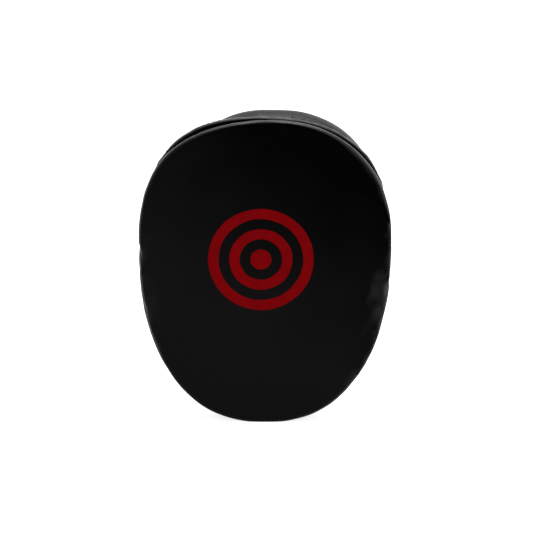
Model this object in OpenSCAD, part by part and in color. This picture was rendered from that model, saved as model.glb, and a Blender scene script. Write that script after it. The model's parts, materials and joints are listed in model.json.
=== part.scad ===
// Focus mitt: a two-cushion curved strike pad, with a finger hood, finger loops, thumb
// sleeve, palm ball and hook-and-loop wrist cuff on its back.
// Frame: X to the striker's right, Y away from the striker, Z up along the fingers.
// The origin is on the back panel, under the centre of the palm.

/* [Pad] */
// Width of the pad across its widest level
pad_w = 204; // [190:1:220]
// Height of the pad from its heel to its crown
pad_h = 256; // [246:1:270]
// Distance from the palm centre down to the heel of the pad
heel_drop = 100; // [96:1:106]
// Distance from the crown down to the widest level
crown_h = 105; // [98:1:112]
// Squareness of the outline above the widest level, where 2 is an ellipse
crown_square = 2.4; // [2.2:0.05:3]
// Squareness of the outline below the widest level
heel_square = 2.35; // [2.1:0.05:2.6]
// Radius of the hollow curve of the strike face
face_r = 1000; // [800:50:2000]

/* [Pad layers] */
// Thickness of every leather panel of the pad
skin_t = 1.5; // [1:0.1:2]
// Thickness of the dense striking foam
impact_t = 11.9; // [9:0.1:14]
// Thickness of the fabric panel that the two cushions are sewn to
divider_t = 1.2; // [0.8:0.1:2]
// Thickness of the softer foam of the rear cushion
shock_t = 5.4; // [4:0.1:8]
// Thickness of the stiff fibre board behind the palm
board_t = 2.5; // [1.5:0.1:3]
// Distance that the divider panel's edge stands back from the front cushion's wall
groove_depth = 1.2; // [0.6:0.1:1.4]
// Distance that the rear cushion's wall stands back from the front cushion's wall
rear_step = 2.5; // [2:0.1:4]

/* [Target print] */
// Sideways place of the printed target
target_x = -3; // [-6:0.5:6]
// Height of the printed target above the palm centre
target_z = 39; // [30:0.5:50]
// Outer radius of the printed target
target_r = 42.5; // [36:0.5:48]
// Thickness of the printed film
print_t = 0.25; // [0.2:0.05:0.4]

/* [Finger hood] */
// Distance from the middle of the pad to the hood's edge over the little finger
hood_far_side = 96; // [92:1:97]
// Distance from the middle of the pad to the hood's edge over the thumb
hood_thumb_side = 80; // [76:1:90]
// Depth of the hood over the knuckles
hood_h = 34; // [33:0.5:38]
// Height of the hood's mouth above the palm centre
mouth_z = 38; // [36:1:40]
// Thickness of the hood's leather
hood_skin_t = 1.4; // [1:0.1:1.8]
// Thickness of the hood's foam
hood_foam_t = 5; // [4:0.1:5.5]
// Thickness of the hood's lining
lining_t = 1; // [0.6:0.1:1.2]

/* [Finger loops] */
// Inside width of each finger loop
finger_w = 20; // [18:0.5:21]
// Inside height of each finger loop
finger_h = 19; // [17:0.5:20]
// Thickness of the loop webbing
webbing_t = 1.3; // [1:0.1:1.5]
// Length of each loop along the finger
finger_len = 22; // [16:1:26]
// Sideways place of the middle of the row
finger_x = 9; // [5:1:14]

/* [Palm and thumb] */
// Radius of the palm ball where it meets the back panel
ball_r = 27; // [22:1:30]
// Height of the palm ball
ball_h = 15; // [10:1:16]
// Inside width of the thumb sleeve
thumb_w = 26; // [24:1:28]
// Inside height of the thumb sleeve
thumb_h = 23; // [20:1:25]
// Length of the thumb sleeve
thumb_len = 40; // [32:1:42]
// Lean of the thumb sleeve away from the fingers
thumb_lean = 35; // [25:1:40]

/* [Wrist cuff and strap] */
// Inside radius of the cuff
cuff_r = 45; // [43:0.5:46]
// Drop of the cuff's centre in front of the back panel
cuff_sink = 9; // [7:0.5:11]
// Lowest edge of the cuff
cuff_z0 = -78; // [-79:1:-75]
// Width of the cuff along the wrist
cuff_w = 42; // [38:1:43]
// Angle at which each cuff wing ends, from the side
wing_deg = 62; // [58:1:66]
// Width of the strap
strap_w = 38; // [30:1:38]
// Thickness of the strap
strap_t = 2.2; // [1.8:0.1:2.6]
// Thickness of each hook or loop patch
patch_t = 1; // [0.8:0.1:1.2]

/* [Hidden] */

leather = "#1c1b1c";
binding = "#101011";
textile = "#2a2a2d";
red = "#a30e12";
foam = "#4a4c50";
board = "#8a6f4d";

pad_t = skin_t + board_t + shock_t + divider_t + impact_t + skin_t;
back_r = face_r + pad_t;           // radius of the pad's back surface
pad_top = pad_h - heel_drop;       // height of the crown
wide_z = pad_top - crown_h;        // height of the widest level
heel_h = wide_z + heel_drop;       // from the widest level down to the heel
outline_steps = 64;                // sides of the pad's outline
seat_gap = 0.1;                    // clearance under what is sewn to the back panel
far = 600;                         // longer than anything in the part
skin_front = -pad_t;
foam_front = skin_front + skin_t;
divider_front = foam_front + impact_t;
shock_front = divider_front + divider_t;
board_front = shock_front + shock_t;
board_back = board_front + board_t;
target_bands = [1, 0.8, 0.6, 0.4, 0.2];   // edges of the bands, as shares of target_r

hood_top = pad_top - rear_step - 0.5;   // height of the hood's top seam
hood_apex = hood_top + 0.5;        // where the hood's two edges would meet
hood_side = 4.5;                   // squareness of the hood's cross-section
hood_nose = 6;                     // squareness of the hood's long section
hood_taper = 0.12;                 // share of its depth that the hood loses towards the top
hood_rows = 14;
hood_columns = 26;
hood_t = hood_skin_t + hood_foam_t + lining_t;
bind_over = 0.9;                   // how far a binding stands proud of what it wraps
bind_z = 2.4;                      // width of the mouth binding

finger_z = mouth_z + 3;            // lower edge of the finger loops
finger_pitch = finger_w + 2 * webbing_t;

ball_at = [4, 0, 2];               // centre of the palm ball
ball_skin_t = 1.3;
ball_sphere_r = (ball_r * ball_r + ball_h * ball_h) / (2 * ball_h);

thumb_at = [-57, 0, -3];           // centre of the thumb sleeve
thumb_lining_t = 1;
thumb_skin_t = 2.4;
thumb_bind_w = 3;                  // width of each sleeve binding

cuff_lining_t = 0.8;
cuff_foam_t = 3;
cuff_skin_t = 1.2;
cuff_out = cuff_r + cuff_lining_t + cuff_foam_t + cuff_skin_t;
cuff_bind_t = 2;                   // width of the binding on each wing's end
wrist_pad_t = 7;
wrist_pad_skin_t = 1.2;
wrist_pad_half = [38, 20];         // half width and half length of the wrist pad
peel_gap = 0.3;                    // clearance between the hook and loop patches

strap_z0 = cuff_z0 + (cuff_w - strap_w) / 2;
patch_z0 = strap_z0 + 1;
patch_w = strap_w - 2;
strap_in = cuff_out + 2 * patch_t + peel_gap;
strap_out = strap_in + strap_t;
root_deg = 120;                    // where the strap hinges on its sewn anchor
bend_deg = 75;                     // where the strap's end peels from the rest
tip_deg = 24;                      // where the strap's end stops
anchor_deg = 152;                  // far end of the sewn anchor
hinge_gap = 2.1;                   // length of bare strap left at each hinge
gap_deg = hinge_gap / (strap_in + strap_t / 2) * 180 / PI;

// ---- outlines ----

function power(v, e) = sign(v) * pow(abs(v), e);

// A closed egg: half width a, height up and down from its widest level, squareness each way.
function egg(a, up, down, n_up, n_down) = [
    for (i = [0 : outline_steps - 1])
        let (t = 360 * (i + 0.5) / outline_steps, n = sin(t) > 0 ? n_up : n_down)
            [a * power(cos(t), 2 / n), (sin(t) > 0 ? up : down) * power(sin(t), 2 / n)]];

function pad_outline(inset) =
    egg(pad_w / 2 - inset, crown_h - inset, heel_h - inset, crown_square, heel_square);

// The region between two radii about the pad's axis of curvature, given as depths
// from the back surface: front is nearer the striker, so it is the more negative.
module curved_layer(front, back) {
    translate([0, -back_r, 0])
        rotate([0, 90, 0])
            difference() {
                cylinder(r = back_r + back, h = far, center = true, $fn = 200);
                cylinder(r = back_r + front, h = far, center = true, $fn = 200);
            }
}

// An outline in X and Z, extruded through the whole depth of the pad.
module through_pad(points) {
    rotate([90, 0, 0])
        linear_extrude(height = 160, center = true)
            polygon(points);
}

module pad_prism(inset) {
    translate([0, 0, wide_z])
        through_pad(pad_outline(inset));
}

module pad_slab(front, back, inset) {
    intersection() {
        pad_prism(inset);
        curved_layer(front, back);
    }
}

module pad_band(front, back, inset, band) {
    intersection() {
        difference() {
            pad_prism(inset);
            pad_prism(inset + band);
        }
        curved_layer(front, back);
    }
}

// Trims what is sewn to the back panel to its curve.
module on_back(lift = 0) {
    difference() {
        children();
        translate([0, -back_r, 0])
            rotate([0, 90, 0])
                cylinder(r = back_r + seat_gap + lift, h = far, center = true, $fn = 200);
    }
}

// ---- pad ----

module face_panel() {
    color(leather) pad_slab(skin_front, foam_front, 0);
}

module target_band(k) {
    color(red)
        intersection() {
            translate([target_x, 0, target_z])
                rotate([90, 0, 0])
                    difference() {
                        cylinder(r = target_r * target_bands[k], h = 160, center = true, $fn = 120);
                        if (k + 1 < len(target_bands))
                            cylinder(r = target_r * target_bands[k + 1], h = 200, center = true,
                                     $fn = 120);
                    }
            curved_layer(skin_front - print_t, skin_front);
        }
}

module front_gusset() {
    color(leather) pad_band(foam_front, divider_front, 0, skin_t);
}

module impact_foam() {
    color(foam) pad_slab(foam_front, divider_front, skin_t);
}

module divider_panel() {
    color(textile) pad_slab(divider_front, shock_front, groove_depth);
}

module rear_gusset() {
    color(leather) pad_band(shock_front, board_back, rear_step, skin_t);
}

module shock_foam() {
    color(foam) pad_slab(shock_front, board_front, rear_step + skin_t);
}

module backing_board() {
    color(board) pad_slab(board_front, board_back, rear_step + skin_t);
}

module back_panel() {
    color(leather) pad_slab(board_back, 0, rear_step);
}

// ---- palm ball ----

module ball_cap(shrink) {
    on_back()
        intersection() {
            translate(ball_at + [0, ball_h - ball_sphere_r, 0])
                sphere(r = ball_sphere_r - shrink, $fn = 120);
            translate([-far / 2, -5, -far / 2])
                cube([far, 60, far]);
        }
}

module palm_ball_core() {
    color(foam) ball_cap(ball_skin_t);
}

module palm_ball_cover() {
    color(leather)
        difference() {
            ball_cap(0);
            translate(ball_at + [0, ball_h - ball_sphere_r, 0])
                sphere(r = ball_sphere_r - ball_skin_t, $fn = 120);
        }
}

// ---- finger hood ----

// Depth of the pad's back surface at height z, which is 0 at the palm.
function back_y(z) = sqrt(back_r * back_r - z * z) - back_r;

// Half width of the hood at height z, t inside its outer surface.
function hood_half(z, t) =
    ((hood_far_side + hood_thumb_side) / 2 - t)
    * pow(1 - pow(max(0, z - wide_z) / (hood_apex - wide_z - t), crown_square),
          1 / crown_square);

// A point of the hood, t inside its outer surface: s runs across from -1 to 1, and f up
// from 0 at the mouth to 1 at the top seam.
function hood_point(s, f, z, t) =
    [(hood_far_side - hood_thumb_side) / 2 + s * hood_half(z, t),
     back_y(z) + seat_gap
        + (hood_h * (1 - hood_taper * f) - t) * pow(1 - pow(f, hood_nose), 1 / hood_nose)
        * pow(1 - pow(abs(s), hood_side), 1 / hood_side),
     z];

function hood_grid(t) = [
    for (j = [0 : hood_rows], i = [0 : hood_columns])
        let (f = sin(90 * j / hood_rows))
            hood_point(sin(180 * i / hood_columns - 90), f,
                       mouth_z + (hood_top - t - mouth_z) * f, t)];

function mouth_grid(t) = [
    for (z = [mouth_z - bind_z, mouth_z], i = [0 : hood_columns])
        hood_point(sin(180 * i / hood_columns - 90), 0, z, t)];

// A sheet with thickness: two grids of rows by columns, joined along their four borders.
module thick_sheet(outer, inner, rows, columns) {
    n = columns + 1;
    m = len(outer);
    function at(j, i) = j * n + i;
    sides = [
        for (j = [0 : rows - 1], i = [0 : columns - 1])
            each [[at(j, i), at(j + 1, i), at(j + 1, i + 1)],
                  [at(j, i), at(j + 1, i + 1), at(j, i + 1)],
                  [m + at(j, i), m + at(j + 1, i + 1), m + at(j + 1, i)],
                  [m + at(j, i), m + at(j, i + 1), m + at(j + 1, i + 1)]]];
    ends = [
        for (i = [0 : columns - 1])
            each [[at(0, i), at(0, i + 1), m + at(0, i + 1)],
                  [at(0, i), m + at(0, i + 1), m + at(0, i)],
                  [at(rows, i), m + at(rows, i + 1), at(rows, i + 1)],
                  [at(rows, i), m + at(rows, i), m + at(rows, i + 1)]]];
    edges = [
        for (j = [0 : rows - 1])
            each [[at(j, 0), m + at(j + 1, 0), at(j + 1, 0)],
                  [at(j, 0), m + at(j, 0), m + at(j + 1, 0)],
                  [at(j, columns), at(j + 1, columns), m + at(j + 1, columns)],
                  [at(j, columns), m + at(j + 1, columns), m + at(j, columns)]]];
    polyhedron(points = concat(outer, inner), faces = concat(sides, ends, edges));
}

module hood_layer(t0, t1) {
    thick_sheet(hood_grid(t0), hood_grid(t1), hood_rows, hood_columns);
}

module hood_shell() {
    color(leather) hood_layer(0, hood_skin_t);
}

module hood_foam() {
    color(foam) hood_layer(hood_skin_t, hood_skin_t + hood_foam_t);
}

module hood_lining() {
    color(textile) hood_layer(hood_skin_t + hood_foam_t, hood_t);
}

module mouth_binding() {
    color(binding)
        thick_sheet(mouth_grid(-bind_over), mouth_grid(hood_t + bind_over), 1, hood_columns);
}

// ---- finger loops and thumb sleeve ----

// An arch in the XY plane: straight sides under a half circle, open at its foot.
module arch_profile(w, h, t) {
    module solid_arch(half, top) {
        translate([0, top - half])
            circle(r = half, $fn = 60);
        translate([-half, -10])
            square([2 * half, top - half + 10]);
    }
    difference() {
        solid_arch(w / 2 + t, h + t);
        solid_arch(w / 2, h);
        translate([-w / 2, -11])
            square([w, 8]);
    }
}

module finger_loop(k) {
    color(textile)
        on_back()
            translate([finger_x + (k - 1.5) * finger_pitch, 0, finger_z])
                linear_extrude(height = finger_len)
                    arch_profile(finger_w, finger_h, webbing_t);
}

module thumb_tube(w, h, t, from, length) {
    on_back()
        translate(thumb_at)
            rotate([0, -thumb_lean, 0])
                translate([0, 0, from])
                    linear_extrude(height = length)
                        arch_profile(w, h, t);
}

module thumb_lining() {
    color(textile)
        thumb_tube(thumb_w, thumb_h, thumb_lining_t, -thumb_len / 2, thumb_len);
}

module thumb_sleeve() {
    grown = 2 * thumb_lining_t;
    color(leather)
        thumb_tube(thumb_w + grown, thumb_h + thumb_lining_t, thumb_skin_t,
                   -thumb_len / 2, thumb_len);
}

module thumb_bindings() {
    wall = thumb_lining_t + thumb_skin_t + bind_over;
    color(binding)
        for (from = [-thumb_len / 2 - thumb_bind_w, thumb_len / 2])
            thumb_tube(thumb_w, thumb_h, wall, from, thumb_bind_w);
}

// ---- wrist pad, cuff and strap ----

module wrist_pad_block(height, inset) {
    intersection() {
        translate([0, 0, cuff_z0 + cuff_w / 2])
            through_pad(egg(wrist_pad_half[0] - inset, wrist_pad_half[1] - inset,
                            wrist_pad_half[1] - inset, 4, 4));
        curved_layer(seat_gap, height);
    }
}

module wrist_pad_foam() {
    color(foam) wrist_pad_block(wrist_pad_t - wrist_pad_skin_t, wrist_pad_skin_t);
}

module wrist_pad_cover() {
    color(textile)
        difference() {
            wrist_pad_block(wrist_pad_t, 0);
            wrist_pad_block(wrist_pad_t - wrist_pad_skin_t, wrist_pad_skin_t);
        }
}

// Part of a ring round the wrist, from angle a0 to a1 about +Z.
module wrist_arc(r0, r1, a0, a1, z0, width) {
    translate([0, -cuff_sink, z0])
        rotate([0, 0, a0])
            rotate_extrude(angle = a1 - a0, $fn = 180)
                translate([r0, 0])
                    square([r1 - r0, width]);
}

// The two wings, mirrored, each from the back panel to wing_deg.
module cuff_wings(r0, r1) {
    on_back() {
        wrist_arc(r0, r1, 0, wing_deg, cuff_z0, cuff_w);
        wrist_arc(r0, r1, 180 - wing_deg, 180, cuff_z0, cuff_w);
    }
}

module cuff_lining() {
    color(textile) cuff_wings(cuff_r, cuff_r + cuff_lining_t);
}

module cuff_foam() {
    color(foam) cuff_wings(cuff_r + cuff_lining_t, cuff_out - cuff_skin_t);
}

module cuff_leather() {
    color(leather) cuff_wings(cuff_out - cuff_skin_t, cuff_out);
}

module cuff_bindings() {
    span = cuff_bind_t / cuff_r * 180 / PI;
    color(binding) {
        wrist_arc(cuff_r, cuff_out, wing_deg, wing_deg + span, cuff_z0, cuff_w);
        wrist_arc(cuff_r, cuff_out, 180 - wing_deg - span, 180 - wing_deg, cuff_z0, cuff_w);
    }
}

module anchor_patch() {
    color(leather)
        wrist_arc(cuff_out, strap_in, root_deg + gap_deg, anchor_deg + 3, strap_z0, strap_w);
}

module strap_anchor() {
    color(leather)
        wrist_arc(strap_in, strap_out, root_deg + gap_deg, anchor_deg, strap_z0, strap_w);
}

module loop_patch() {
    color(textile)
        wrist_arc(cuff_out, cuff_out + patch_t, 18, wing_deg - 2, patch_z0, patch_w);
}

module wrist_strap() {
    color(leather)
        wrist_arc(strap_in, strap_out, bend_deg + gap_deg, root_deg, strap_z0, strap_w);
}

module strap_end() {
    color(leather)
        wrist_arc(strap_in, strap_out, tip_deg, bend_deg, strap_z0, strap_w);
}

module hook_patch() {
    color(textile)
        wrist_arc(strap_in - patch_t, strap_in, tip_deg + 3, wing_deg - 4, patch_z0, patch_w);
}

module pull_tab() {
    tab_w = strap_w / 2;
    color(binding)
        wrist_arc(strap_in + 0.3, strap_out - 0.3, tip_deg - 11, tip_deg,
                  cuff_z0 + (cuff_w - tab_w) / 2, tab_w);
}

face_panel();
target_band(0);  // target_ring_outer
target_band(2);  // target_ring_inner
target_band(4);  // target_centre
front_gusset();
impact_foam();
divider_panel();
rear_gusset();
shock_foam();
backing_board();
back_panel();
palm_ball_core();
palm_ball_cover();
hood_shell();
hood_foam();
hood_lining();
mouth_binding();
finger_loop(0);  // finger_loop_index
finger_loop(1);  // finger_loop_middle
finger_loop(2);  // finger_loop_ring
finger_loop(3);  // finger_loop_little
thumb_sleeve();
thumb_lining();
thumb_bindings();
wrist_pad_foam();
wrist_pad_cover();
cuff_lining();
cuff_foam();
cuff_leather();
cuff_bindings();
anchor_patch();
strap_anchor();
loop_patch();
wrist_strap();
strap_end();
hook_patch();
pull_tab();
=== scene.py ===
"""Focus mitt, seen from the strike side and a little above. Metres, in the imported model's frame:
X to the striker's right, Y away from the striker, Z up along the fingers."""
import json
import math

import bmesh
import bpy
import numpy as np
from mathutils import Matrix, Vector
from mathutils.bvhtree import BVHTree


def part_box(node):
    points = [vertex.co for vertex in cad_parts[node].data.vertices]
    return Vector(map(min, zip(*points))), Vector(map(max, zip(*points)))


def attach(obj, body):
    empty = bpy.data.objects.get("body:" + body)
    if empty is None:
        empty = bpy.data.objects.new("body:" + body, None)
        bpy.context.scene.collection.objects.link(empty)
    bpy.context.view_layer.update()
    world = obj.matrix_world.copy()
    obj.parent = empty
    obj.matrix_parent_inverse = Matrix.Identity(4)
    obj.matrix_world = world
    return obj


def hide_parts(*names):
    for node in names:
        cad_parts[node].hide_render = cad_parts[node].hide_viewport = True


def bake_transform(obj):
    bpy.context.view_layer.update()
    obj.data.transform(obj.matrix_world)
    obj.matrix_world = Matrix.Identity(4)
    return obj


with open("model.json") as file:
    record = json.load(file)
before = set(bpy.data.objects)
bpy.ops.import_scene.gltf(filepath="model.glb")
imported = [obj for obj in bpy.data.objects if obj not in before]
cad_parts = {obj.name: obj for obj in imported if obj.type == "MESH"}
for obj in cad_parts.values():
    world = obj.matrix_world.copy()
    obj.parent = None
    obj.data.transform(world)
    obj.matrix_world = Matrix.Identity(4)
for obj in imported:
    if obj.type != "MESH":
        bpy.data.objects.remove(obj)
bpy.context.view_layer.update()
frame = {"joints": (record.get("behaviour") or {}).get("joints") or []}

MM = 0.001
ROOT, STRAP, TIP = "root", "strap", "strap_tip"
TAU = 2 * np.pi

# ---- sizes that follow the CAD ----

FACE_LOW, FACE_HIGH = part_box("face_panel")
PAD_HALF = FACE_HIGH.x                            # half the pad's width
CROWN = FACE_HIGH.z                               # top of the pad
HEEL = FACE_LOW.z                                 # bottom of the pad
CROWN_H = 105 * MM                                # from the widest level up to the crown
WIDE_Z = CROWN - CROWN_H
HEEL_H = WIDE_Z - HEEL
CROWN_SQUARE, HEEL_SQUARE = 2.4, 2.35             # squareness of the outline, 2 is an ellipse
PAD_T = 24 * MM                                   # whole thickness of the pad
BACK_R = 1.0 + PAD_T                              # radius of the back surface
SPLIT_FRONT, SPLIT_BACK = -10.6 * MM, -9.4 * MM   # depths at which the two cushions meet the divider
MIDDLE_Z = (CROWN + HEEL) / 2
REAR_STEP = PAD_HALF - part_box("back_panel")[1].x  # how far the rear cushion stands back
SEAT = 0.1 * MM                                   # clearance under what is sewn to the back

HOOD_LOW, HOOD_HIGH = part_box("hood_shell")
MOUTH_Z, HOOD_TOP = HOOD_LOW.z, HOOD_HIGH.z
HOOD_X = (HOOD_LOW.x + HOOD_HIGH.x) / 2
HOOD_HALF = (HOOD_HIGH.x - HOOD_LOW.x) / 2
HOOD_APEX = HOOD_TOP + 0.5 * MM
HOOD_H = 34 * MM                                  # depth of the hood at its mouth
HOOD_T = 7.4 * MM                                 # thickness of the hood's wall
HOOD_LINING = 1 * MM
HOOD_SIDE, HOOD_NOSE, HOOD_TAPER = 4.5, 6.0, 0.12

WRIST_Y = -9 * MM                                 # centre of the cuff's curve
CUFF_R, CUFF_OUT = 45 * MM, 50 * MM
CUFF_LINING = 0.8 * MM
CUFF_Z0, CUFF_Z1 = (corner.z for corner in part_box("cuff_leather"))
CUFF_Z, CUFF_HALF = (CUFF_Z0 + CUFF_Z1) / 2, (CUFF_Z1 - CUFF_Z0) / 2
WING = math.radians(62)                           # how far each wing reaches round
STRAP_T = 2.2 * MM
STRAP_Z0, STRAP_Z1 = (corner.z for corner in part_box("wrist_strap"))
STRAP_Z = (STRAP_Z0 + STRAP_Z1) / 2
PIVOTS = {j["name"]: Vector(j["pos_m"]) for j in frame["joints"]}
SWING, PEEL = PIVOTS["strap_swing"], PIVOTS["tip_peel"]
STRAP_R = math.hypot(SWING.x, SWING.y - WRIST_Y)  # radius of the strap's middle
STRAP_IN, STRAP_OUT = STRAP_R - STRAP_T / 2, STRAP_R + STRAP_T / 2
PATCH_T = 1 * MM                                  # thickness of a hook or loop patch
ANCHOR_TURN, TIP_TURN, TAB_TURN, UNDERLAY_TURN = np.radians([152, 24, 13, 122.3])
LOOP_TURNS, HOOK_TURNS = np.radians([18, 57.5]), np.radians([27, 58])


def turn_of(point):
    """Angle of a point about the wrist's centre."""
    return math.atan2(point.y - WRIST_Y, point.x)


def arc_y(z, depth=0.0):
    """Y of the surface that lies at this depth from the back surface (negative is in front)."""
    return np.sqrt((BACK_R + depth) ** 2 - np.square(z)) - BACK_R


def power(value, exponent):
    return np.sign(value) * np.abs(value) ** exponent


def points_at(x, y, z):
    return np.stack(np.broadcast_arrays(x, y, z), -1)


def turned_left(flat):
    return np.stack([-flat[:, 1], flat[:, 0]], -1)


def unit(vectors):
    return vectors / np.maximum(np.linalg.norm(vectors, axis=-1, keepdims=True), 1e-12)


def hill(distance, width):
    """1 where distance is 0, falling away smoothly over about width."""
    return np.exp(-np.square(distance / width))


def egg(turn):
    """X and Z of the pad's outline, where turn runs from 0 to 2 pi."""
    up = np.sin(turn) > 0
    square = np.where(up, CROWN_SQUARE, HEEL_SQUARE)
    height = np.where(up, CROWN_H, HEEL_H)
    x = PAD_HALF * power(np.cos(turn), 2 / square)
    return np.stack([x, WIDE_Z + height * power(np.sin(turn), 2 / square)], -1)


class Outline:
    """The pad's outline by polar angle about its middle, with its inward normals."""

    def __init__(self):
        self.points = egg(np.linspace(0, TAU, 4000, endpoint=False))
        along = unit(np.roll(self.points, -1, 0) - np.roll(self.points, 1, 0))
        self.normals = turned_left(along)
        angle = np.arctan2(self.points[:, 1] - MIDDLE_Z, self.points[:, 0])
        self.order = np.argsort(angle)
        self.angle = angle[self.order]

    def _read(self, values, angle):
        ordered = values[self.order]
        return np.stack([np.interp(angle, self.angle, ordered[:, k], period=TAU)
                         for k in range(2)], -1)

    def at(self, angle, inset=0.0):
        """X and Z, inset from the edge, where a line at this angle from the middle meets it."""
        inset = np.broadcast_to(inset, np.shape(angle))[..., None]
        return self._read(self.points, angle) + unit(self._read(self.normals, angle)) * inset


PAD = Outline()


def pad_ring(angle, inset, depth):
    """Points round the pad, inset from its edge, at a depth from the back surface."""
    flat = PAD.at(angle, inset)
    return points_at(flat[:, 0], arc_y(flat[:, 1], depth), flat[:, 1])


def hood_half(z, t):
    """Half width of the hood at height z, t inside its outer surface."""
    rise = np.clip((z - WIDE_Z) / (HOOD_APEX - WIDE_Z - t), 0, 1)
    return (HOOD_HALF - t) * (1 - rise ** CROWN_SQUARE) ** (1 / CROWN_SQUARE)


def hood_point(s, f, t=0.0):
    """A point of the hood: s runs across from -1 to 1, and f up from the mouth to the top seam."""
    z = MOUTH_Z + (HOOD_TOP - t - MOUTH_Z) * f
    lift = (HOOD_H * (1 - HOOD_TAPER * f) - t) * (1 - f ** HOOD_NOSE) ** (1 / HOOD_NOSE)
    y = arc_y(z) + SEAT + lift * (1 - np.abs(s) ** HOOD_SIDE) ** (1 / HOOD_SIDE)
    return points_at(HOOD_X + s * hood_half(z, t), y, z)


def wrist_point(turn, radius, z):
    return points_at(radius * np.cos(turn), WRIST_Y + radius * np.sin(turn), z)


# ---- shapes: each is a pair of points and faces ----

def grid_faces(rows, columns, start=0, around=False):
    at = start + np.arange(rows * columns).reshape(rows, columns)
    ahead = np.roll(at, -1, 1)
    last = columns if around else columns - 1
    return [(at[j, i], ahead[j, i], ahead[j + 1, i], at[j + 1, i])
            for j in range(rows - 1) for i in range(last)]


def thick_sheet(outer, inner, around=False):
    """A closed sheet between two grids of points, joined along their borders."""
    rows, columns = outer.shape[:2]
    size = rows * columns
    at = np.arange(size).reshape(rows, columns)
    faces = grid_faces(rows, columns, 0, around) + grid_faces(rows, columns, size, around)
    if around:
        borders = [list(at[0]), list(at[-1])]
    else:
        borders = [list(at[0, :-1]) + list(at[:-1, -1]) + list(at[-1, :0:-1]) + list(at[:0:-1, 0])]
    for loop in borders:
        faces += [(a, b, size + b, size + a) for a, b in zip(loop, loop[1:] + loop[:1])]
    return np.concatenate([outer.reshape(-1, 3), inner.reshape(-1, 3)]), faces


def sweep(path, side, out, section, closed=False):
    """A closed section of (side, out) pairs carried along a path."""
    section = np.asarray(section)
    points = (path[:, None] + side[:, None] * section[None, :, :1]
              + out[:, None] * section[None, :, 1:])
    rows, columns = points.shape[:2]
    if closed:
        points = np.concatenate([points, points[:1]])[:rows]
        faces = grid_faces(rows, columns, 0, True)
        faces += [(i, (i + 1) % columns, (rows - 1) * columns + (i + 1) % columns,
                   (rows - 1) * columns + i) for i in range(columns)]
    else:
        faces = grid_faces(rows, columns, 0, True)
        faces += [tuple(range(columns)), tuple(range((rows - 1) * columns, rows * columns))]
    return points.reshape(-1, 3), faces


def tape_section(half, reach, wall, end):
    """A tape folded over an edge: half its outer thickness, how far it reaches back over the
    edge, its wall, and how far it stands past the edge."""
    round_end = [(-end * math.cos(a) ** 0.7, half * math.sin(a))
                 for a in np.radians(np.linspace(75, -75, 7))]
    outer = [(reach, half - 0.4 * wall), (reach * 0.9, half), (reach / 2, half)] + round_end
    outer += [(reach / 2, -half), (reach * 0.9, -half), (reach, -half + 0.4 * wall)]
    inner = [(reach, -half + wall), (0.0, -half + wall), (0.0, half - wall), (reach, half - wall)]
    return outer + inner


def lengths_along(path):
    return np.concatenate([[0], np.cumsum(np.linalg.norm(np.diff(path, axis=0), axis=1))])


def even(path, step):
    """The same line with points a step apart, or as near to it as fits."""
    run = lengths_along(path)
    at = np.linspace(0, run[-1], max(3, int(round(run[-1] / step)) + 1))
    return np.stack([np.interp(at, run, path[:, k]) for k in range(path.shape[1])], -1)


def disc_grid(n):
    """A square grid of n by n quads bent onto a disc: polar coordinates, quads, and the rim's points."""
    u, v = np.meshgrid(np.linspace(-1, 1, n + 1), np.linspace(-1, 1, n + 1), indexing="ij")
    x, y = u * np.sqrt(1 - v * v / 2), v * np.sqrt(1 - u * u / 2)
    at = np.arange((n + 1) ** 2).reshape(n + 1, n + 1)
    quads = [(at[i, j], at[i + 1, j], at[i + 1, j + 1], at[i, j + 1])
             for i in range(n) for j in range(n)]
    rim = list(at[:-1, 0]) + list(at[-1, :-1]) + list(at[:0:-1, -1]) + list(at[0, :0:-1])
    return np.hypot(x, y).ravel(), np.arctan2(y, x).ravel(), quads, rim


def cushion_shape(caps, rings, quads, rim):
    """Two grids of points joined through rings of rim points into one closed skin."""
    count, around = len(caps[0]), len(rim)
    last = count + around * len(rings)
    loops = [list(rim)]
    loops += [list(range(count + k * around, count + (k + 1) * around)) for k in range(len(rings))]
    loops += [[last + k for k in rim]]
    faces = list(quads) + [tuple(last + k for k in reversed(q)) for q in quads]
    for a, b in zip(loops, loops[1:]):
        faces += [(a[k], b[k], b[(k + 1) % around], a[(k + 1) % around]) for k in range(around)]
    return np.concatenate([caps[0], *rings, caps[1]]), faces


# ---- mesh helpers ----

def linked(name, data):
    made = bpy.data.objects.new(name, data)
    bpy.context.scene.collection.objects.link(made)
    return made


def new_object(name, material, *shapes):
    """One object made of one or more shapes, with every face turned outward."""
    points, faces = [], []
    for shape_points, shape_faces in shapes:
        start = len(points)
        points += [tuple(p) for p in np.asarray(shape_points, float)]
        faces += [tuple(int(k) + start for k in face) for face in shape_faces]
    mesh = bpy.data.meshes.new(name)
    mesh.from_pydata(points, [], faces)
    work = bmesh.new()
    work.from_mesh(mesh)
    bmesh.ops.recalc_face_normals(work, faces=work.faces)
    work.to_mesh(mesh)
    work.free()
    mesh.shade_smooth()
    mesh.materials.append(material)
    return linked(name, mesh)


def coordinates(made, what="co"):
    co = np.zeros(len(made.data.vertices) * 3)
    made.data.vertices.foreach_get(what, co)
    return co.reshape(-1, 3)


def set_coordinates(made, co):
    made.data.vertices.foreach_set("co", np.asarray(co, float).ravel())
    made.data.update()


def normals_of(made):
    return coordinates(made, "normal")


def subdivided(made, levels=1):
    sub = made.modifiers.new("sub", "SUBSURF")
    sub.levels = sub.render_levels = levels
    graph = bpy.context.evaluated_depsgraph_get()
    graph.update()
    mesh = bpy.data.meshes.new_from_object(made.evaluated_get(graph))
    made.modifiers.clear()
    made.data = mesh
    mesh.shade_smooth()
    return made


def push(made, amount):
    """Moves every point along its normal by its own amount."""
    set_coordinates(made, coordinates(made) + normals_of(made) * np.asarray(amount)[:, None])
    return made


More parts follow.
